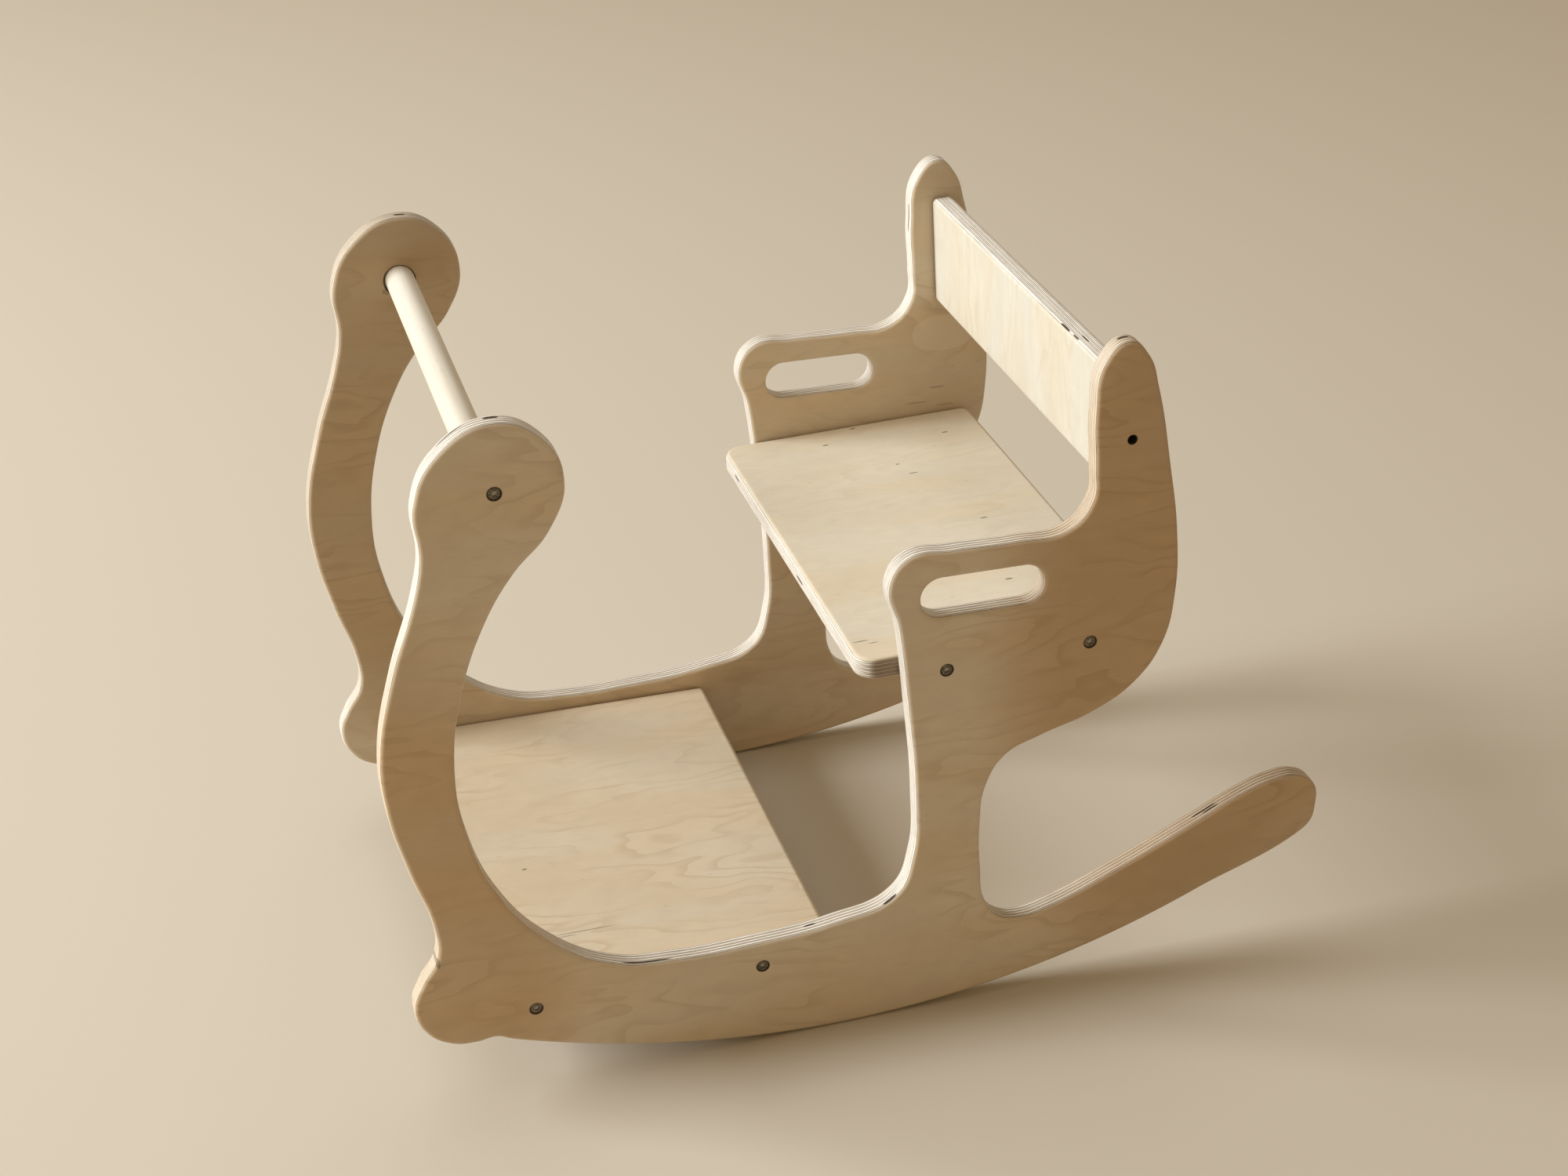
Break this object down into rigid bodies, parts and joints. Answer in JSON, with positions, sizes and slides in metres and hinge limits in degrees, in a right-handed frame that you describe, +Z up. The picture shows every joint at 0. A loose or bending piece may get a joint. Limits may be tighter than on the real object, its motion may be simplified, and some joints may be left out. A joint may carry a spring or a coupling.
{
  "type": "rocking horse",
  "caption": "Child's rocking horse in birch plywood: scroll-cut side panels with curved rockers, joined by seat, foot board, back board and round handle with countersunk screws.",
  "frame": {"origin": "centre of the bounding box's underside, on the floor that the rockers rest on", "axes": "+X forward, to the head; +Y to the horse's left; +Z up"},
  "size_m": [0.6326, 0.36, 0.4794],
  "materials": {
    "birch_panel": "clear satin lacquer over birch face veneer, plies showing on the rounded edges",
    "birch_board": "clear satin lacquer over birch face veneer, plies showing on the rounded edges",
    "beech_dowel": "clear satin lacquer on turned hardwood",
    "zinc_screw": "bright zinc plating"
  },
  "bodies": {
    "root": {"side_panel_left": "birch_panel", "side_panel_right": "birch_panel", "seat_board": "birch_board", "foot_board": "birch_board", "back_board": "birch_board", "handle_bar": "beech_dowel", "screw_head_left": "zinc_screw", "screw_seat_front_left": "zinc_screw", "screw_seat_rear_left": "zinc_screw", "screw_foot_front_left": "zinc_screw", "screw_foot_rear_left": "zinc_screw", "screw_back_left": "zinc_screw", "screw_head_right": "zinc_screw", "screw_seat_front_right": "zinc_screw", "screw_seat_rear_right": "zinc_screw", "screw_foot_front_right": "zinc_screw", "screw_foot_rear_right": "zinc_screw", "screw_back_right": "zinc_screw"}
  },
  "joints": []
}
